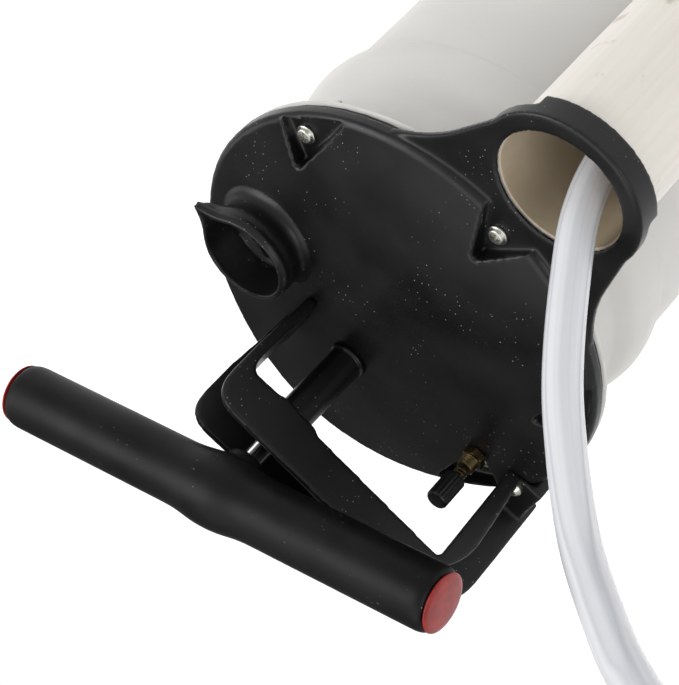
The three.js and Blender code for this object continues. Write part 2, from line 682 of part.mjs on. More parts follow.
// a ribbed cap that slides over the spring
function makeValveCap() {
  const ribs = 16;
  const ribTop = 5.3;
  const ribRoot = 4.95;
  const outline = [];
  for (let i = 0; i < ribs * 2; i += 1) outline.push(polar(i % 2 ? ribRoot : ribTop, (180 * i) / ribs));
  const crown = turned([[0, capTop - 1.5], [5, capTop - 1.5], [4.4, capTop - 0.2], [0, capTop]], atValve);
  return raised(new THREE.Shape(outline), capBottom, capTop - 1.2).translate([valveX, valveY, 0])
    .add(crown)
    .subtract(disc(3.7, 0, capBottom + 3, atValve))
    .subtract(disc(stemRadius + gap, 0, stemTop + gap, atValve));
}

// ---- hose ----
// It stands in the storage tube, leans out to the left, arches forward and hangs in front.
// Path points are [x, distance in front of the tube's axis, height above rimZ].
const hoseEnd = v3(-176, tubeY - 200, rimZ - 150);
const hosePath = new THREE.CatmullRomCurve3([
  ...[[4, 1, 60 - rimZ], [2, 1, -160], [-4, 0, -30], [-12, -1, 0], [-27, -2, 26], [-50, 2, 63],
    [-68, 12, 91], [-87, 33, 125], [-102, 62, 156], [-114, 90, 181], [-125, 122, 201],
    [-141, 156, 203], [-158, 182, 172], [-171, 196, 100], [-176, 200, 0]]
    .map(([x, forward, up]) => v3(x, tubeY - forward, rimZ + up)),
  hoseEnd,
]);
const makeHose = () => swept(hosePath, hoseRadius, hoseRadius - hoseWall, 42, 10);

// the stepped cone on the end of the hose, point down
function makeHosePlug() {
  const socket = hoseRadius + gap;
  const bore = 3.5;
  return turned([[bore, -44], [8.5, -44], [11.5, -20], [13, -20], [13, -14], [9.5, -12], [9.5, 0],
    [socket, 0], [socket, -10.2], [bore, -11.8]],
  { x: hoseEnd.x, y: hoseEnd.y, z: hoseEnd.z + 10 });
}

// ---- the object ----
add('base', makeBase(), blackPlastic);
add('tank', makeTank(), tankPlastic);
add('storage_tube', makeStorageTube(), tubePlastic);
add('lid', makeLid(), blackPlastic);
add('lid_gasket', makeLidGasket(), blackRubber);
screwPoints.forEach(({ x, y }, i) => {
  add(`lid_screw_${i + 1}`, panScrew(24).translate([x, y, rimZ + ledge + gap]), zinc);
});
add('carry_handle', makeCarryHandle(), blackPlastic);
add('handle_screw_left', panScrew(10, { shank: 1.3, head: 3.4 })
  .translate([leftFootScrew.x, leftFootScrew.y, rimZ + leftFootTop + gap]), zinc);
add('handle_screw_right', panScrew(20, { shank: 1.8, head: 3.4 }).rotate([180, 0, 0])
  .translate([rightFootScrew.x, rightFootScrew.y,
    rimZ + domeAt(rightFootScrew.length() + 6) - lidWall - 2 * gap]), zinc);

add('guide_tube', makeGuideTube(), blackPlastic);
add('rod_wiper', makeRodWiper(), blackRubber);
add('rod_bush', makeRodBush(), whiteNylon);
add('barrel_head', makeBarrelHead(), blackPlastic);
add('barrel_gasket', makeBarrelGasket(), blackRubber);
add('pump_barrel', makePumpBarrel(), greyPlastic);
add('barrel_foot', makeBarrelFoot(), blackPlastic);
add('inlet_flap', makeInletFlap(), blackRubber);
add('flap_stop', makeFlapStop(), whiteNylon);

add('piston', makePiston(), whiteNylon);
add('piston_seal', makePistonSeal(), blackRubber);
add('piston_washer', makePistonWasher(), zinc);
add('piston_nut', makePistonNut(), zinc);
add('pump_rod', makePumpRod(), steel);
add('t_handle', makeTHandle(), blackPlastic);
add('grip_pin', makeCrossPin(pinRadius, neckRadiusBottom - 0.6), steel);
add('grip_cap_near', makeGripCap(-1), redPlastic);
add('grip_cap_far', makeGripCap(1), redPlastic);

add('valve_body', makeValveBody(), brass);
add('valve_nut', makeValveNut(), brass);
add('valve_stem', makeValveStem(), brass);
add('valve_disc', makeValveDisc(), blackRubber);
add('valve_spring', makeValveSpring(), brass);
add('valve_cap', makeValveCap(), blackPlastic);

add('suction_hose', makeHose(), hosePlastic);
add('hose_plug', makeHosePlug(), blackRubber);

export default object;
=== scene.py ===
import math

import bmesh
import bpy
import numpy as np
from mathutils import Matrix, Vector


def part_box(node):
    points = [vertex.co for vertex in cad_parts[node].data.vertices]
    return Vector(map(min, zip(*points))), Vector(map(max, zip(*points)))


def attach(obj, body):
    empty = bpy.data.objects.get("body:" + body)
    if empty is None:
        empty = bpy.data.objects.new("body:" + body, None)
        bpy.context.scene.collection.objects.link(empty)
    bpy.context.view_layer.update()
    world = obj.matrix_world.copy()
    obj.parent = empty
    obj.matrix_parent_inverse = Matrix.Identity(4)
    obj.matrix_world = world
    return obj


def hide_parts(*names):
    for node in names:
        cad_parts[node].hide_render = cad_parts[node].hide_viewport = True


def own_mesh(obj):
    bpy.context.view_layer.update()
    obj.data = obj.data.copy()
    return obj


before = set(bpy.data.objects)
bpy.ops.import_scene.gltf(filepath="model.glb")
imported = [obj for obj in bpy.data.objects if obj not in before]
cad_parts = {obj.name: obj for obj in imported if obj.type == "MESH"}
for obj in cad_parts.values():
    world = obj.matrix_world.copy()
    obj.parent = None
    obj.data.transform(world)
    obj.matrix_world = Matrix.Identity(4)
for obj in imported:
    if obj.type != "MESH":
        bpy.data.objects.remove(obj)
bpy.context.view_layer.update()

MM = 0.001


# ---------------------------------------------------------------- places, from the frame
def centre(node):
    low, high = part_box(node)
    return (low + high) / 2


def top(node):
    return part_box(node)[1].z


def bottom(node):
    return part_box(node)[0].z


rim_z = top("lid_gasket") + 0.3 * MM          # the lid's lower edge
lid_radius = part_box("lid")[1].x
lid_edge = 6.6 * MM                           # height of the lid's edge wall at the front
edge_lift = 6 * MM                            # how much higher it stands at the back
crest_lift = 5.6 * MM                         # and how much more on its crest
crest_angle = 98                              # degrees from +X
crest_width = 55                              # degrees to either side
dome_rise = 10.5 * MM
ledge_z = rim_z + 3.5 * MM                    # top of the lobe, floor of the screw pockets
tube = centre("storage_tube")
tube_radius = (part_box("storage_tube")[1].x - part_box("storage_tube")[0].x) / 2
tube_bore = tube_radius - 2.6 * MM
pump = centre("guide_tube")
valve = centre("valve_cap")
spout = Vector((60.9 * MM, 27.8 * MM, top("lid")))
spout_radius = 22 * MM
spout_neck = spout_radius + 0.3 * MM
lip_angle = math.radians(-3.4)
grip = centre("t_handle")
grip.z = centre("grip_cap_near").z
grip_axis = (centre("grip_cap_far") - centre("grip_cap_near")).normalized()
grip_radius = 15.25 * MM
grip_half = (centre("grip_cap_far") - centre("grip_cap_near")).length / 2 + 2.4 * MM


# ---------------------------------------------------------------- materials
def linear(red, green, blue):
    """A colour given as 0 to 255 sRGB values, as the linear values that nodes take."""
    def one(value):
        value /= 255
        return value / 12.92 if value <= 0.04045 else ((value + 0.055) / 1.055) ** 2.4
    return (one(red), one(green), one(blue), 1)


class Look:
    """A node material while it is being put together."""

    def __init__(self, name):
        self.material = bpy.data.materials.new(name)
        self.material.use_nodes = True
        self.tree = self.material.node_tree
        self.shader = self.tree.nodes["Principled BSDF"]
        self.place = self.add("ShaderNodeTexCoord").outputs["Object"]

    def feed(self, socket, value):
        if isinstance(value, bpy.types.NodeSocket):
            self.tree.links.new(value, socket)
        else:
            socket.default_value = value

    def add(self, kind, inputs=None, **settings):
        made = self.tree.nodes.new(kind)
        for key, value in settings.items():
            setattr(made, key, value)
        for key, value in (inputs or {}).items():
            self.feed(made.inputs[key], value)
        return made

    def set(self, **inputs):
        for key, value in inputs.items():
            self.feed(self.shader.inputs[key.replace("_", " ")], value)
        return self

    def stretched(self, x, y, z):
        """Texture coordinates scaled by x, y and z."""
        mapping = self.add("ShaderNodeMapping", {"Vector": self.place, "Scale": (x, y, z)})
        return mapping.outputs["Vector"]

    def noise(self, scale, detail=3, vector=None):
        made = self.add("ShaderNodeTexNoise", {
            "Vector": vector or self.place, "Scale": scale, "Detail": detail})
        return made.outputs["Fac"]

    def ramp(self, value, low, high, start=0.0, end=1.0):
        """value moved from the range low..high to start..end, and held there."""
        made = self.add("ShaderNodeMapRange", {
            "Value": value, "From Min": low, "From Max": high, "To Min": start, "To Max": end})
        return made.outputs["Result"]

    def mix(self, factor, first, second):
        made = self.add("ShaderNodeMix", data_type="RGBA")
        self.feed(made.inputs["Factor"], factor)
        self.feed(made.inputs[6], first)
        self.feed(made.inputs[7], second)
        return made.outputs[2]

    def times(self, first, second):
        made = self.add("ShaderNodeMath", {0: first, 1: second}, operation="MULTIPLY")
        return made.outputs[0]

    def specks(self, scale, size, share):
        """1 on small scattered spots: scale is spots to the metre, size a share of their spacing."""
        spots = self.add("ShaderNodeTexVoronoi", {"Vector": self.place, "Scale": scale})
        near = self.ramp(spots.outputs["Distance"], size, size * 0.5)
        patch = self.ramp(self.noise(28), 0.62 - share, 0.7 - share)
        return self.times(near, patch)

    def bump(self, height, distance, strength=1.0, normal=None):
        made = self.add("ShaderNodeBump", {
            "Height": height, "Distance": distance, "Strength": strength})
        if normal:
            self.feed(made.inputs["Normal"], normal)
        return made.outputs["Normal"]


def black_plastic(name="black_plastic", shade=13, gloss=0.34, dust=0.13, shine=0.24):
    """Moulded black plastic: a fine grain, uneven gloss, light dust specks."""
    look = Look(name)
    body = look.mix(look.ramp(look.noise(45), 0.3, 0.7),
                    linear(shade - 4, shade - 4, shade - 3),
                    linear(shade + 5, shade + 5, shade + 6))
    dusty = look.specks(360, 0.12, dust)
    colour = look.mix(look.times(dusty, 0.8), body, linear(138, 134, 126))
    rough = look.ramp(look.noise(22, 5), 0.3, 0.7, gloss - 0.05, gloss + 0.09)
    grain = look.bump(look.noise(2600, 2), 0.03 * MM, 0.5)
    wavy = look.bump(look.noise(70, 2), 0.25 * MM, 0.35, grain)
    look.set(Base_Color=colour, Roughness=rough, Normal=wavy, Specular_IOR_Level=shine)
    return look.material


def rubber():
    """Dull black rubber with an uneven shade."""
    look = Look("black_rubber")
    colour = look.mix(look.noise(120), linear(18, 18, 18), linear(34, 33, 32))
    look.set(Base_Color=colour, Roughness=0.78, Normal=look.bump(look.noise(900), 0.08 * MM, 0.6))
    return look.material


def tank_plastic():
    """Milky blow-moulded plastic: some light passes through, and the wall is a little wavy."""
    look = Look("tank_plastic")
    cloud = look.ramp(look.noise(14, 4), 0.3, 0.7)
    colour = look.mix(cloud, linear(212, 210, 207), linear(224, 222, 219))
    wavy = look.bump(look.noise(26, 2, look.stretched(1, 1, 0.35)), 0.8 * MM, 0.25)
    look.set(Base_Color=colour, Roughness=look.ramp(cloud, 0, 1, 0.30, 0.42), Normal=wavy,
             Specular_IOR_Level=0.35)
    glow = look.add("ShaderNodeBsdfTranslucent", {"Color": linear(238, 236, 233), "Normal": wavy})
    clear = look.add("ShaderNodeBsdfTransparent", {"Color": (1, 1, 1, 1)})
    body = look.add("ShaderNodeMixShader", {
        0: 0.35, 1: look.shader.outputs["BSDF"], 2: glow.outputs["BSDF"]})
    whole = look.add("ShaderNodeMixShader", {
        0: 0.16, 1: body.outputs["Shader"], 2: clear.outputs["BSDF"]})
    out = look.tree.nodes["Material Output"]
    look.tree.links.new(whole.outputs["Shader"], out.inputs["Surface"])
    return look.material


def tube_plastic():
    """Cream drain pipe, with faint lengthwise drawing lines, a few dark smudges, and an inner wall
    darkened by grime and by painted shade.
    """
    look = Look("tube_plastic")
    lines = look.noise(420, 2, look.stretched(1, 1, 0.02))
    colour = look.mix(look.ramp(lines, 0.3, 0.7), linear(196, 191, 182), linear(201, 197, 189))
    across = look.add("ShaderNodeVectorMath", {0: look.place, 1: (tube.x, tube.y, 0)},
                      operation="SUBTRACT")
    flat = look.add("ShaderNodeVectorMath", {0: across.outputs[0], 1: (1, 1, 0)},
                    operation="MULTIPLY")
    reach = look.add("ShaderNodeVectorMath", {0: flat.outputs[0]}, operation="LENGTH")
    inside = look.ramp(reach.outputs["Value"], tube_bore + 0.9 * MM, tube_bore + 0.3 * MM)
    # inner wall colour: partly grime, partly painted shade for the light that does not reach down
    # the bore
    grime_and_bore_shade = look.mix(look.ramp(look.noise(30, 5), 0.3, 0.7), linear(160, 145, 122),
                     linear(178, 165, 144))
    colour = look.mix(inside, colour, grime_and_bore_shade)
    smudge = look.times(look.ramp(look.noise(75, 6), 0.64, 0.72), 0.4)
    colour = look.mix(smudge, colour, linear(110, 92, 74))
    look.set(Base_Color=colour, Roughness=0.42, Subsurface_Weight=0.12, Subsurface_Scale=4 * MM,
             Normal=look.bump(lines, 0.02 * MM, 0.3))
    return look.material


def hose_plastic():
    """Clear soft hose gone slightly milky. Its colour is painted by the angle to the view: a lighter
    middle and a dark line inside each edge, for light bent through the clear wall.
    """
    look = Look("hose_plastic")
    facing = look.add("ShaderNodeLayerWeight", {"Blend": 0.5}).outputs["Facing"]
    # painted refraction: by the angle to the view, a light middle and a dark line inside each edge
    # of the clear hose
    painted_refraction = look.add("ShaderNodeValToRGB", {"Fac": facing})
    stops = painted_refraction.color_ramp.elements
    stops[0].position = 0.0
    stops[0].color = linear(222, 222, 224)
    stops[1].position = 1.0
    stops[1].color = linear(172, 173, 176)
    for position, colour in ((0.30, linear(214, 214, 216)), (0.42, linear(204, 204, 207)),
                             (0.50, linear(178, 179, 183)), (0.58, linear(206, 206, 208))):
        stops.new(position).color = colour
    around = look.add("ShaderNodeUVMap").outputs["UV"]
    stretch = look.add("ShaderNodeMapping", {"Vector": around, "Scale": (26, 0.6, 1)})
    streaks = look.add("ShaderNodeTexNoise", {
        "Vector": stretch.outputs["Vector"], "Scale": 1.0, "Detail": 4})
    streak = look.ramp(streaks.outputs["Fac"], 0.35, 0.65)
    colour = look.mix(look.times(streak, 0.3), painted_refraction.outputs["Color"], linear(176, 180, 190))
    ripple = look.bump(streaks.outputs["Fac"], 0.15 * MM, 0.4)
    look.set(Base_Color=colour, Roughness=0.22, Normal=ripple, Coat_Weight=0.15,
             Coat_Roughness=0.12)
    clear = look.add("ShaderNodeBsdfTransparent", {"Color": linear(238, 238, 240)})
    share = look.ramp(facing, 0.0, 0.6, 0.34, 0.08)
    whole = look.add("ShaderNodeMixShader", {
        0: share, 1: look.shader.outputs["BSDF"], 2: clear.outputs["BSDF"]})
    out = look.tree.nodes["Material Output"]
    look.tree.links.new(whole.outputs["Shader"], out.inputs["Surface"])
    return look.material


def red_plastic():
    """Red plastic with fine scuffs."""
    look = Look("red_plastic")
    colour = look.mix(look.ramp(look.noise(160, 5), 0.4, 0.62), linear(112, 20, 14),
                      linear(130, 27, 20))
    scuffs = look.ramp(look.noise(900, 3, look.stretched(1, 0.15, 1)), 0.6, 0.72)
    colour = look.mix(look.times(scuffs, 0.25), colour, linear(150, 62, 52))
    look.set(Base_Color=colour, Specular_IOR_Level=0.3,
             Roughness=look.ramp(scuffs, 0, 1, 0.34, 0.5),
             Normal=look.bump(look.noise(1500), 0.03 * MM, 0.4))
    return look.material


def plain_plastic(name, first, second, rough):
    """Plastic that wanders between two close colours."""
    look = Look(name)
    look.set(Base_Color=look.mix(look.noise(60, 4), first, second), Roughness=rough,
             Normal=look.bump(look.noise(1400), 0.04 * MM, 0.4))
    return look.material


def metal(name, first, second, rough, grain_stretch=(1, 1, 1)):
    """Bare metal with a grain that can be drawn out in one direction."""
    look = Look(name)
    grain = look.noise(1100, 4, look.stretched(*grain_stretch))
    stain = look.ramp(look.noise(180, 4), 0.35, 0.65)
    look.set(Base_Color=look.mix(stain, first, second), Metallic=1.0,
             Roughness=look.ramp(grain, 0.3, 0.7, rough - 0.06, rough + 0.1),
             Normal=look.bump(grain, 0.02 * MM, 0.5))
    return look.material


BLACK = black_plastic()
BLACK_GRIP = black_plastic("black_grip", shade=11, gloss=0.46, dust=0.10, shine=0.12)
RUBBER = rubber()
TANK = tank_plastic()
TUBE = tube_plastic()
HOSE = hose_plastic()
RED = red_plastic()
NYLON = plain_plastic("white_nylon", linear(226, 224, 214), linear(238, 236, 228), 0.5)
GREY = plain_plastic("grey_plastic", linear(134, 137, 140), linear(148, 150, 152), 0.5)
ZINC = metal("zinc", linear(158, 158, 150), linear(190, 188, 180), 0.34)
STEEL = metal("steel", linear(206, 208, 210), linear(224, 225, 226), 0.18, (1, 1, 0.03))
BRASS = metal("brass", linear(52, 45, 30), linear(88, 76, 50), 0.42)


# ---------------------------------------------------------------- mesh tools
def new_piece(name, mesh, material, body, *nodes):
    """A smooth-shaded object that rides on a body and stands for some CAD nodes."""
    piece = bpy.data.objects.new(name, mesh)
    bpy.context.scene.collection.objects.link(piece)
    mesh.materials.clear()
    mesh.materials.append(material)
    mesh.shade_smooth()
    mesh.set_sharp_from_angle(angle=math.radians(40))
    piece.modifiers.new("even_shading", "WEIGHTED_NORMAL").keep_sharp = True
    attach(piece, body)
    if nodes:
        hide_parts(*nodes)
    return piece


def mesh_from(name, points, faces):
    mesh = bpy.data.meshes.new(name)
    mesh.from_pydata([tuple(p) for p in points], [], faces)
    shell = bmesh.new()
    shell.from_mesh(mesh)
    bmesh.ops.remove_doubles(shell, verts=shell.verts, dist=1e-7)
    bmesh.ops.recalc_face_normals(shell, faces=shell.faces)
    shell.to_mesh(mesh)
    shell.free()
    return mesh


def rounded(outline, radius, closed=False, steps=4):
    """The outline, a list of pairs, with its corners turned into curves about that size."""
    count = len(outline)
    points = [np.array(p, float) for p in outline]
    made = []
    for i, corner in enumerate(points):
        if not closed and i in (0, count - 1):
            made.append(corner)
            continue
        before, after = points[i - 1] - corner, points[(i + 1) % count] - corner
        for side in (before, after):
            length = np.linalg.norm(side)
            side *= min(radius, 0.45 * length) / length
        for k in range(steps + 1):
            t = k / steps
            made.append(corner + before * (1 - t) ** 2 + after * t ** 2)
    return made


def lathe(name, profile, origin, axis=(0, 0, 1), sides=96, shape=None):
    """A mesh of pairs (radius, height) turned about an axis. An outline that starts off the axis
    is a closed ring. shape(angle, radius, height), if given, changes each point's radius."""
    closed = profile[0][0] > 0
    turn = Vector((0, 0, 1)).rotation_difference(Vector(axis)).to_matrix()
    points, rows = [], []
    for radius, height in profile:
        start = len(points)
        if radius < 1e-7:
            points.append(turn @ Vector((0, 0, height)) + Vector(origin))
            rows.append([start] * sides)
            continue
        for i in range(sides):
            angle = 2 * math.pi * i / sides
            reach = shape(angle, radius, height) if shape else radius
            flat = Vector((reach * math.cos(angle), reach * math.sin(angle), height))
            points.append(turn @ flat + Vector(origin))
        rows.append(range(start, start + sides))
    pairs = list(zip(rows, rows[1:]))
    if closed:
        pairs.append((rows[-1], rows[0]))
    faces = []
    for lower, upper in pairs:
        for i in range(sides):
            j = (i + 1) % sides
            corners = list(dict.fromkeys((lower[i], lower[j], upper[j], upper[i])))
            if len(corners) > 2:
                faces.append(corners)
    return mesh_from(name, points, faces)


def block(name, size, turn, place):
    """A box mesh, turned about the vertical and moved to a place."""
    shell = bmesh.new()
    bmesh.ops.create_cube(shell, size=1)
    bmesh.ops.scale(shell, verts=shell.verts, vec=size)
    bmesh.ops.rotate(shell, verts=shell.verts, matrix=Matrix.Rotation(turn, 3, "Z"))
    bmesh.ops.translate(shell, verts=shell.verts, vec=place)
    mesh = bpy.data.meshes.new(name)
    shell.to_mesh(mesh)
    shell.free()
    return mesh


def sweep(name, path, radii, sides):
    """A mesh of rings carried along a path of points; radii is (outer,) or (outer, inner).
    It has UVs: once around and once along."""
    path = [Vector(p) for p in path]
    ways = [(path[min(i + 1, len(path) - 1)] - path[max(i - 1, 0)]).normalized()
            for i in range(len(path))]
    side = ways[0].orthogonal().normalized()
    rings = []
    for point, way in zip(path, ways):
        side = (side - way * side.dot(way)).normalized()
        across = way.cross(side)
        rings.append([[point + (side * math.cos(a) + across * math.sin(a)) * radius
                       for a in (2 * math.pi * i / sides for i in range(sides))]
                      for radius in radii])
    mesh = bpy.data.meshes.new(name)
    shell = bmesh.new()
    made = [[[shell.verts.new(p) for p in loop] for loop in ring] for ring in rings]
    layer = shell.loops.layers.uv.new("UVMap")

    def face(corners, spots):
        quad = shell.faces.new(corners)
        for loop, spot in zip(quad.loops, spots):
            loop[layer].uv = spot

    last = len(made) - 1
    for wall in range(len(radii)):
        for k in range(last):
            for i in range(sides):
                j = (i + 1) % sides
                corners = [made[k][wall][i], made[k][wall][j],
                           made[k + 1][wall][j], made[k + 1][wall][i]]
                spots = [(i / sides, k / last), ((i + 1) / sides, k / last),
                         ((i + 1) / sides, (k + 1) / last), (i / sides, (k + 1) / last)]
                face(corners, spots)
    for k in (0, last):
        if len(radii) == 1:
            shell.faces.new(made[k][0])
            continue
        for i in range(sides):
            j = (i + 1) % sides
            shell.faces.new([made[k][0][i], made[k][0][j], made[k][1][j], made[k][1][i]])
    bmesh.ops.recalc_face_normals(shell, faces=shell.faces)
    shell.to_mesh(mesh)
    shell.free()
    return mesh


def with_modifiers(mesh, *modifiers):
    """A new mesh: this one after the modifiers, each given as (kind, settings)."""
    holder = bpy.data.objects.new("holder", mesh)
    bpy.context.scene.collection.objects.link(holder)
    for kind, settings in modifiers:
        modifier = holder.modifiers.new(kind, kind)
        for key, value in settings.items():
            setattr(modifier, key, value)
    graph = bpy.context.evaluated_depsgraph_get()
    made = bpy.data.meshes.new_from_object(holder.evaluated_get(graph))
    bpy.data.objects.remove(holder)
    return made


def softened(mesh, voxel, rounds):
    """The mesh in even faces with its edges rounded off, as a mould leaves them."""
    return with_modifiers(
        mesh,
        ("REMESH", {"mode": "VOXEL", "voxel_size": voxel}),
        ("SMOOTH", {"factor": 0.5, "iterations": rounds}),
    )


def smoothed(mesh, rounds):
    return with_modifiers(mesh, ("SMOOTH", {"factor": 0.5, "iterations": rounds}))


def without(mesh, cutter):
    """The mesh less another."""
    tool = bpy.data.objects.new("cutter", cutter)
    bpy.context.scene.collection.objects.link(tool)
    made = with_modifiers(
        mesh, ("BOOLEAN", {"operation": "DIFFERENCE", "solver": "EXACT", "object": tool}))
    bpy.data.objects.remove(tool)
    return made


def joined(name, *meshes):
    """Several closed meshes as one, each still a shell of its own."""
    shell = bmesh.new()
    for mesh in meshes:
        shell.from_mesh(mesh)
    made = bpy.data.meshes.new(name)
    shell.to_mesh(made)
    shell.free()
    return made


def cad_mesh(node):
    """A copy of a CAD node's mesh with its shared corners merged."""
    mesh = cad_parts[node].data.copy()
    shell = bmesh.new()
    shell.from_mesh(mesh)
    bmesh.ops.remove_doubles(shell, verts=shell.verts, dist=1e-6)
    shell.to_mesh(mesh)
    shell.free()
    return mesh


def points_of(mesh):
    points = np.zeros(len(mesh.vertices) * 3)
    mesh.vertices.foreach_get("co", points)
    return points.reshape(-1, 3)


def set_points(mesh, points):
    mesh.vertices.foreach_set("co", points.ravel())
    mesh.update()


FACET = 0.45 * MM                             # furthest a CAD facet lies from its true curve


def pull(offset):
    """How much of an offset to a true surface to take: all when near, none from FACET on."""
    return offset * np.clip(1 - (offset / FACET) ** 2, 0, 1) ** 0.5


def round_off(points, axis, knots):
    """Moves points that lie near a surface of revolution about a vertical axis onto it.
    knots are (height, radius) pairs from the bottom up."""
    heights, radii = zip(*knots)
    away = points[:, :2] - np.array(axis[:2])
    reach = np.maximum(np.hypot(*away.T), 1e-9)
    wanted = np.interp(points[:, 2], heights, radii)
    inside = (points[:, 2] > heights[0]) & (points[:, 2] < heights[-1])
    move = np.where(inside, pull(wanted - reach), 0)
    points[:, :2] += away * (move / reach)[:, None]


# ---------------------------------------------------------------- lid
def dome_height(x, y):
    """Height of the lid's top surface above the rim: a shallow dome, raised toward the back."""
    reach = np.hypot(x, y)
    outward = np.clip((reach / lid_radius - 0.45) / 0.55, 0, 1)
    backward = np.clip((y / np.maximum(reach, MM) + 0.5) / 1.3, 0, 1)
    turn_away = np.abs((np.degrees(np.arctan2(y, x)) - crest_angle + 180) % 360 - 180)
    crest = np.cos(np.pi / 2 * np.clip(turn_away / crest_width, 0, 1)) ** 2
    dome = lid_edge + dome_rise * (1 - (reach / lid_radius) ** 2)
    return dome + (edge_lift * backward + crest_lift * crest) * outward ** 1.5


def spout_bead():
    """A bead round the outside of the spout, just under its rim, drawn out with the lip."""
    drop, thick = 3 * MM, 1.2 * MM
    lip_reach, lip_width = 10.3 * MM, math.radians(10)
    steps = 180
    path = []
    for i in range(steps + 1):
        angle = 2 * math.pi * i / steps - math.pi
        reach = spout_radius + lip_reach * math.exp(-abs(angle) / lip_width)
        path.append(spout + Vector((reach * math.cos(angle + lip_angle),
                                    reach * math.sin(angle + lip_angle), -drop)))
    return sweep("bead", path, (thick,), 16)


def slim_spout(mesh):
    """Draws the spout's neck in to an even width below its flared top."""
    points = points_of(mesh)
    away = points[:, :2] - np.array(spout[:2])
    reach = np.maximum(np.hypot(*away.T), 1e-9)
    wall = (np.abs(reach - spout_radius - 1.4 * MM) < 2.3 * MM)
    wall &= (points[:, 2] > rim_z + 6 * MM) & (points[:, 2] < spout.z - 11.5 * MM)
    points[:, :2] += away * np.where(wall, spout_neck / reach - 1, 0)[:, None]
    set_points(mesh, points)
    return mesh


def spout_fillet():
    """A hollow fillet between the spout's neck and the dome, which it follows."""
    size, steps = 5 * MM, 8
    depth = 1.5 * MM
    curve = [(spout_neck + size * (1 - math.cos(t)), size * (1 - math.sin(t)))
             for t in (math.pi / 2 * k / steps for k in range(steps + 1))]
    profile = [(spout_neck - MM, -depth), (spout_neck + size, -depth), *curve[::-1],
               (spout_neck - MM, size)]
    mesh = lathe("fillet", profile, (spout.x, spout.y, 0), sides=96)
    points = points_of(mesh)
    points[:, 2] += rim_z + dome_height(points[:, 0], points[:, 1])
    set_points(mesh, points)
    return mesh


def make_lid():
    """The lid: remeshed soft, then its dome and its round walls laid back on their true curves."""
    shells = joined("lid_shells", slim_spout(cad_mesh("lid")), spout_bead(), spout_fillet())
    mesh = softened(shells, 0.85 * MM, 8)
    points = points_of(mesh)
    edge_curve = 2.5 * MM
    inside = np.hypot(points[:, 0], points[:, 1]) < lid_radius - edge_curve
    offset = rim_z + dome_height(points[:, 0], points[:, 1]) - points[:, 2]
    points[:, 2] += np.where(inside, pull(offset), 0)
    lobe_radius = tube.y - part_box("lid")[0].y
    mouth_radius = tube_bore + 0.5 * MM
    skirt = 20 * MM
    round_off(points, Vector((0, 0, 0)), [(rim_z, lid_radius), (ledge_z + skirt, lid_radius)])
    round_off(points, tube, [(rim_z - skirt, lobe_radius), (ledge_z, lobe_radius)])
    round_off(points, tube, [(rim_z - skirt, mouth_radius), (ledge_z, mouth_radius)])
    set_points(mesh, points)
    return new_piece("lid_moulding", smoothed(mesh, 3), BLACK, "tank_body", "lid")


# ---------------------------------------------------------------- tank, tube, base
def make_tank():
    """The tank as one smooth wall: floor, body, stepped bulge under the neck, neck and flange."""
    radius, bulge, neck, flange = 90.6 * MM, 95.2 * MM, 87.5 * MM, 102.5 * MM
    wall = 2.2 * MM
    low, high = bottom("tank"), top("tank")
    shoulder = rim_z - 30 * MM
    flange_under = high - 3.6 * MM
    foot = [(0, low), (radius - 6.6 * MM, low), (radius - 2.1 * MM, low + 2 * MM),
            (radius, low + 8 * MM)]
    step = [(radius, shoulder - 36.5 * MM), (radius + 2.2 * MM, shoulder - 33 * MM)]
    swell = [(bulge - MM, shoulder - 28 * MM), (bulge, shoulder - 21 * MM),
             (bulge - 1.6 * MM, shoulder - 12 * MM), (radius - MM, shoulder - 5 * MM),
             (neck, shoulder)]
    rim = [(neck, flange_under - 2 * MM), (neck + 2 * MM, flange_under), (flange, flange_under),
           (flange, high)]
    inside = [(max(r - wall, 0), z + (wall if z < low + 3 * MM else 0))
              for r, z in foot + step + swell]
    profile = rounded(foot + step + swell + rim + [(neck - wall, high)] + inside[::-1], 12 * MM,
                      steps=6)
    mesh = lathe("tank_shell", profile, (0, 0, 0), sides=144)
    hole = 2.3 * MM
    holes = [lathe("hole", [(0, flange_under - MM), (hole, flange_under - MM), (hole, high + MM),
                            (0, high + MM)],
                   (centre(f"lid_screw_{i}").x, centre(f"lid_screw_{i}").y, 0), sides=24)
             for i in range(1, 7)]
    return new_piece("tank_wall", without(mesh, joined("holes", *holes)), TANK, "tank_body", "tank")


def make_tube():
    """The side tube, a plain length of pipe."""
    low, high = bottom("storage_tube"), top("storage_tube")
    profile = rounded([(tube_bore, low), (tube_radius, low), (tube_radius, high),
                       (tube_bore, high)], 0.8 * MM, closed=True)
    mesh = lathe("side_tube", profile, (tube.x, tube.y, 0), sides=128)
    return new_piece("side_tube", mesh, TUBE, "tank_body", "storage_tube")


def make_base():
    """The moulded foot that holds the tank and the tube."""
    mesh = softened(cad_mesh("base"), 1.3 * MM, 4)
    return new_piece("base_moulding", mesh, BLACK, "tank_body", "base")


# ---------------------------------------------------------------- handles
def make_carry_handle():
    """The carry handle, its edges softened as a mould leaves them."""
    mesh = softened(cad_mesh("carry_handle"), 0.8 * MM, 5)
    return new_piece("carry_handle_moulding", mesh, BLACK, "tank_body", "carry_handle")


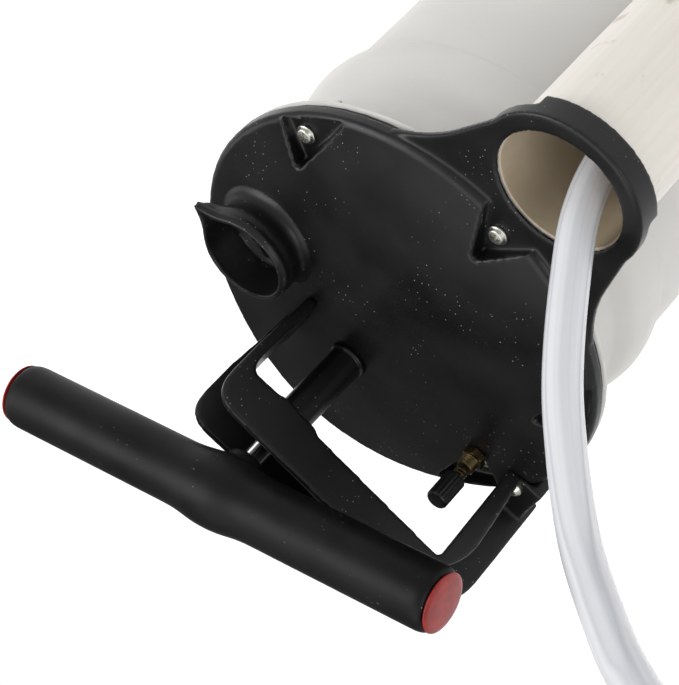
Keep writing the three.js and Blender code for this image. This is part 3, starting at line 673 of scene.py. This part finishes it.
def make_grip():
    """The T-handle: a thick bar, a swelling in its middle and the boss that holds the rod."""
    cap_bore = grip_radius - 3 * MM
    depth = 8 * MM
    bar = [(grip_radius + 2.1 * MM, 0), (grip_radius + 1.9 * MM, 6 * MM),
           (grip_radius + 0.3 * MM, 17 * MM), (grip_radius, 23 * MM),
           (grip_radius, grip_half - 2.6 * MM), (grip_radius - 2 * MM, grip_half),
           (cap_bore, grip_half), (cap_bore, grip_half - depth), (0, grip_half - depth)]
    whole = [(r, -z) for r, z in bar[:0:-1]] + bar
    low = bottom("t_handle")
    boss = [(0, low), (7.5 * MM, low), (10 * MM, low + 1.4 * MM), (10.5 * MM, low + 4 * MM),
            (12 * MM, grip.z - 8 * MM), (12 * MM, grip.z), (0, grip.z)]
    mesh = joined(
        "grip_shells",
        lathe("bar", rounded(whole, 4 * MM), grip, grip_axis, sides=160),
        lathe("boss", rounded(boss, 1.5 * MM), (pump.x, pump.y, 0), sides=96),
    )
    return new_piece("grip_moulding", softened(mesh, 0.8 * MM, 8), BLACK_GRIP, "handle_set",
                     "t_handle")


def make_grip_cap(node, way):
    """A red end cap: a slightly domed button pressed into the grip's end."""
    outer = grip_radius - 1.4 * MM
    plug = grip_radius - 3.3 * MM
    # radius, and height past the grip's end in mm
    outline = [(0, -7), (plug, -7), (plug, 0.3), (outer, 0.3), (outer, 1.1), (outer - 2 * MM, 1.7),
               (outer * 0.5, 2.1), (0, 2.2)]
    profile = rounded([(r, grip_half + z * MM) for r, z in outline], 1.2 * MM)
    mesh = lathe(node + "_button", profile, grip, grip_axis * way, sides=96)
    return new_piece(node + "_button", mesh, RED, "handle_set", node)


# ---------------------------------------------------------------- pump's guide tube
def make_guide():
    """The sleeve round the rod, with shallow flutes along it."""
    low, high = bottom("guide_tube"), top("guide_tube")
    bore, radius = 6.8 * MM, 8.6 * MM
    collar = radius + 0.9 * MM
    seat = rim_z + float(dome_height(pump.x, pump.y - collar)) + 0.3 * MM
    profile = rounded([(bore, low), (radius, low), (radius, seat), (collar, seat),
                       (collar, seat + 1.2 * MM), (radius, seat + 2 * MM),
                       (radius, high), (bore, high)], 0.5 * MM, closed=True)
    flutes, flute_depth = 10, 0.22 * MM

    def fluted(angle, reach, height):
        if reach < radius - 0.1 * MM or height < seat + 3 * MM:
            return reach
        return reach - flute_depth * (1 + math.cos(flutes * angle)) / 2

    mesh = lathe("guide_sleeve", profile, (pump.x, pump.y, 0), sides=120, shape=fluted)
    return new_piece("guide_sleeve", mesh, BLACK, "tank_body", "guide_tube")


# ---------------------------------------------------------------- relief valve
def make_valve_body():
    """Brass sleeve with a hexagon foot and a cut thread."""
    low, high = bottom("valve_body"), top("valve_body")
    seat = high - 9 * MM
    bore, foot, threaded = 1.36 * MM, 5.8 * MM, 4.3 * MM
    thread_from, thread_to = seat + 3.8 * MM, high - 0.6 * MM
    pitch, cut_depth = 0.9 * MM, 0.35 * MM
    rows = 56
    thread = [(threaded, thread_from + (thread_to - thread_from) * k / rows)
              for k in range(rows + 1)]
    profile = [(bore, low), (3 * MM, low), (3 * MM, seat), (foot, seat),
               (foot, seat + 3.2 * MM), (5.2 * MM, seat + 3.6 * MM), *thread,
               (3.9 * MM, high), (bore, high)]

    def cut(angle, reach, height):
        if abs(reach - foot) < 0.1 * MM:
            sixth = math.pi / 3
            return reach * math.cos(sixth / 2) / math.cos((angle % sixth) - sixth / 2)
        if abs(reach - threaded) < 0.05 * MM and thread_from < height < thread_to:
            turn = (height / pitch - angle / (2 * math.pi)) % 1
            return reach - cut_depth * abs(2 * turn - 1)
        return reach

    mesh = lathe("valve_sleeve", profile, (valve.x, valve.y, 0), sides=96, shape=cut)
    return new_piece("valve_sleeve", mesh, BRASS, "tank_body", "valve_body")


def make_valve_spring():
    """Brass coil, swept at its full length; on the real valve it shortens as the cap is pushed."""
    coil, wire = 2.7 * MM, 0.45 * MM
    low, high = bottom("valve_spring") + wire, top("valve_spring") - wire
    turns, steps = 4, 40
    path = [(valve.x + coil * math.cos(2 * math.pi * i / steps),
             valve.y + coil * math.sin(2 * math.pi * i / steps),
             low + (high - low) * i / (turns * steps)) for i in range(turns * steps + 1)]
    mesh = sweep("valve_coil", path, (wire,), 12)
    piece = new_piece("valve_coil", mesh, BRASS, "tank_body", "valve_spring")
    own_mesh(piece)
    return piece


def make_valve_cap():
    """Ribbed black cap."""
    low, high = bottom("valve_cap"), top("valve_cap")
    radius, bore = 5.3 * MM, 3.7 * MM
    shaft, socket = 1.6 * MM, low + 9.3 * MM
    profile = rounded([(0, socket), (shaft, socket), (shaft, low + 3 * MM), (bore, low + 3 * MM),
                       (bore, low), (radius, low), (radius, high - 1.4 * MM),
                       (4.5 * MM, high - 0.2 * MM), (0, high)], 0.5 * MM)
    ribs, groove = 16, 0.42 * MM

    def ribbed(angle, reach, height):
        if reach < radius - 0.15 * MM:
            return reach
        return reach - groove * abs(math.sin(ribs * angle / 2)) ** 3

    mesh = lathe("valve_button", profile, (valve.x, valve.y, 0), sides=192, shape=ribbed)
    return new_piece("valve_button", mesh, BLACK, "valve_set", "valve_cap")


# ---------------------------------------------------------------- screws
def make_screw(node, length, shank, head, flipped=False):
    """Washer-head screw with a cross recess and a threaded shank. shank and head are radii."""
    at = centre(node)
    crown_height = 3 * MM
    seat = bottom(node) + crown_height if flipped else top(node) - crown_height
    way = (0, 0, -1) if flipped else (0, 0, 1)
    pitch = 1.4 * MM
    rows = int(length / (0.2 * MM))
    tip = 5 * MM
    thread = [(shank * (0.25 + 0.75 * min(1, (length * k / rows + 0.4 * MM) / tip)),
               -length + length * k / rows) for k in range(rows + 1)]
    washer = head + 0.6 * MM
    crown = rounded([(washer, 0), (washer, 0.8 * MM), (head, 1.1 * MM), (head * 0.82, 2.5 * MM),
                     (0, crown_height)], 0.6 * MM)
    profile = [(0, -length), *thread, *crown]

    def threaded(angle, reach, height):
        if height > -MM or height < -length + 0.1 * MM:
            return reach
        turn = (height / pitch - angle / (2 * math.pi)) % 1
        return reach * (0.78 + 0.22 * max(0, 1 - 3 * abs(turn - 0.5)))

    mesh = lathe(node + "_fine", profile, (at.x, at.y, seat), way, sides=48, shape=threaded)
    slot, arm = head * 0.55, 0.5 * MM
    height = seat + (-3.3 if flipped else 3.3) * MM
    for spin in (0.5, 0.5 + math.pi / 2):
        blade = block("blade", (2 * slot, 2 * arm, 3 * MM), spin, (at.x, at.y, height))
        mesh = without(mesh, blade)
    return new_piece(node + "_fine", mesh, ZINC, "tank_body", node)


# ---------------------------------------------------------------- hose
def hose_path(steps):
    """The hose's centre line as a smooth curve through the points it is led by.
    Points are (x, distance in front of the side tube's axis, height above the rim) in mm."""
    guides = [(4, 1, -300), (2, 1, -160), (-4, 0, -30), (-12, -1, 0), (-27, -2, 26), (-50, 2, 63),
              (-68, 12, 91), (-87, 33, 125), (-102, 62, 156), (-114, 90, 181), (-125, 122, 201),
              (-141, 156, 203), (-158, 182, 172), (-171, 196, 100), (-176, 200, 0),
              (-176, 200, -150)]
    knots = np.array([(x * MM, tube.y - y * MM, rim_z + z * MM) for x, y, z in guides])
    padded = np.vstack([2 * knots[0] - knots[1], knots, 2 * knots[-1] - knots[-2]])
    path = []
    for a, b, c, d in zip(padded, padded[1:], padded[2:], padded[3:]):
        t0, t1, t2, t3 = np.cumsum([0] + [np.linalg.norm(q - p) ** 0.5
                                          for p, q in ((a, b), (b, c), (c, d))])
        for t in np.linspace(t1, t2, steps, endpoint=False):
            ab = (t1 - t) / (t1 - t0) * a + (t - t0) / (t1 - t0) * b
            bc = (t2 - t) / (t2 - t1) * b + (t - t1) / (t2 - t1) * c
            cd = (t3 - t) / (t3 - t2) * c + (t - t2) / (t3 - t2) * d
            abc = (t2 - t) / (t2 - t0) * ab + (t - t0) / (t2 - t0) * bc
            bcd = (t3 - t) / (t3 - t1) * bc + (t - t1) / (t3 - t1) * cd
            path.append((t2 - t) / (t2 - t1) * abc + (t - t1) / (t2 - t1) * bcd)
    return path + [knots[-1]]


def make_hose():
    """The clear hose, hollow from end to end."""
    outer, bore = 8 * MM, 6.4 * MM
    mesh = sweep("clear_hose", hose_path(14), (outer, bore), 40)
    return new_piece("clear_hose", mesh, HOSE, "tank_body", "suction_hose")


def make_hose_plug():
    """Stepped rubber cone on the hose's end, point down."""
    at = centre("hose_plug")
    high = top("hose_plug")
    outline = [(3.5, -44), (8.5, -44), (11.5, -20), (13, -20), (13, -14), (9.5, -12), (9.5, 0),
               (8.3, 0), (8.3, -10.2), (3.5, -11.8)]
    profile = rounded([(r * MM, high + z * MM) for r, z in outline], 1.2 * MM, closed=True)
    mesh = lathe("plug_cone", profile, (at.x, at.y, 0), sides=96)
    return new_piece("plug_cone", mesh, RUBBER, "tank_body", "hose_plug")


# ---------------------------------------------------------------- CAD nodes that stay
def dress_cad_nodes():
    """Pieces whose CAD shape is right keep it, and get a material."""
    looks = {
        "lid_gasket": RUBBER, "barrel_gasket": RUBBER, "rod_wiper": RUBBER, "piston_seal": RUBBER,
        "inlet_flap": RUBBER, "valve_disc": RUBBER, "barrel_head": BLACK, "barrel_foot": BLACK,
        "pump_barrel": GREY, "rod_bush": NYLON, "flap_stop": NYLON, "piston": NYLON,
        "piston_washer": ZINC, "piston_nut": ZINC, "pump_rod": STEEL, "grip_pin": STEEL,
        "valve_nut": BRASS, "valve_stem": BRASS,
    }
    for node, material in looks.items():
        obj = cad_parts[node]
        obj.data.materials.clear()
        obj.data.materials.append(material)


# ---------------------------------------------------------------- stage
def make_stage():
    """A pale round floor, and a world that is bright nearly all round."""
    reach, low, high = 6, -10 * MM, -1 * MM
    floor_mesh = lathe("floor", [(0, low), (reach, low), (reach, high), (0, high)], (0, 0, 0),
                       sides=64)
    floor = bpy.data.objects.new("floor", floor_mesh)
    bpy.context.scene.collection.objects.link(floor)
    look = Look("pale_floor")
    look.set(Base_Color=(0.93, 0.93, 0.93, 1), Roughness=0.9, Specular_IOR_Level=0.1)
    floor_mesh.materials.append(look.material)

    world = bpy.data.worlds.new("studio")
    world.use_nodes = True
    nodes = world.node_tree.nodes
    links = world.node_tree.links
    nodes["Background"].inputs["Color"].default_value = (0.98, 0.99, 1, 1)
    # bright all round but for a dark patch low at the back, which the lid's top mirrors
    aim = nodes.new("ShaderNodeVectorMath")
    aim.operation = "DOT_PRODUCT"
    aim.inputs[1].default_value = (-0.05, 0.85, 0.52)
    links.new(nodes.new("ShaderNodeTexCoord").outputs["Generated"], aim.inputs[0])
    dim = nodes.new("ShaderNodeMapRange")
    for key, value in (("From Min", 0.35), ("From Max", 0.95), ("To Min", 0.85), ("To Max", 0.15)):
        dim.inputs[key].default_value = value
    links.new(aim.outputs["Value"], dim.inputs["Value"])
    links.new(dim.outputs["Result"], nodes["Background"].inputs["Strength"])
    bpy.context.scene.world = world
    bpy.context.scene.view_settings.view_transform = "Standard"


def area_light(name, place, aim, size, power):
    data = bpy.data.lights.new(name, "AREA")
    data.shape = "DISK"
    data.size = size
    data.energy = power
    light = bpy.data.objects.new(name, data)
    bpy.context.scene.collection.objects.link(light)
    light.location = place
    light.rotation_euler = (Vector(aim) - Vector(place)).to_track_quat("-Z", "Y").to_euler()
    return light


def make_lights():
    """Four soft lamps aimed at the lid: place, size in metres and power in watts."""
    middle = (0, 0, rim_z)
    area_light("key", (1.3, 0.2, 1.9), middle, 1.4, 30)
    area_light("top", (-0.4, 0.3, 2.6), middle, 2.2, 26)
    area_light("front", (-1.2, -1.9, 1.5), middle, 1.6, 22)
    area_light("back", (1.2, 1.75, 1.4), middle, 1.1, 5)


def make_camera():
    """Looks down on the lid from the tube's side, rolled so that the pump points down left."""
    data = bpy.data.cameras.new("camera")
    data.sensor_fit = "HORIZONTAL"
    data.sensor_width = 36
    data.lens = 129.8
    camera = bpy.data.objects.new("camera", data)
    bpy.context.scene.collection.objects.link(camera)
    heading, tilt, roll = (math.radians(a) for a in (5.76, 59.91, -136.21))
    turn = (Matrix.Rotation(heading, 4, "Z") @ Matrix.Rotation(tilt, 4, "X")
            @ Matrix.Rotation(roll, 4, "Z"))
    place = (0.0994, -0.9134, rim_z + 0.5724)
    camera.matrix_world = Matrix.Translation(place) @ turn
    bpy.context.scene.camera = camera


# ---------------------------------------------------------------- the object
make_lid()
make_tank()
make_tube()
make_base()
make_carry_handle()
make_grip()
make_grip_cap("grip_cap_near", -1)
make_grip_cap("grip_cap_far", 1)
make_guide()
make_valve_body()
make_valve_spring()
make_valve_cap()
for number in range(1, 7):
    make_screw(f"lid_screw_{number}", 24 * MM, 2 * MM, 4.2 * MM)
make_screw("handle_screw_left", 10 * MM, 1.3 * MM, 3.4 * MM)
make_screw("handle_screw_right", 20 * MM, 1.8 * MM, 3.4 * MM, flipped=True)
make_hose()
make_hose_plug()
dress_cad_nodes()
make_stage()
make_lights()
make_camera()
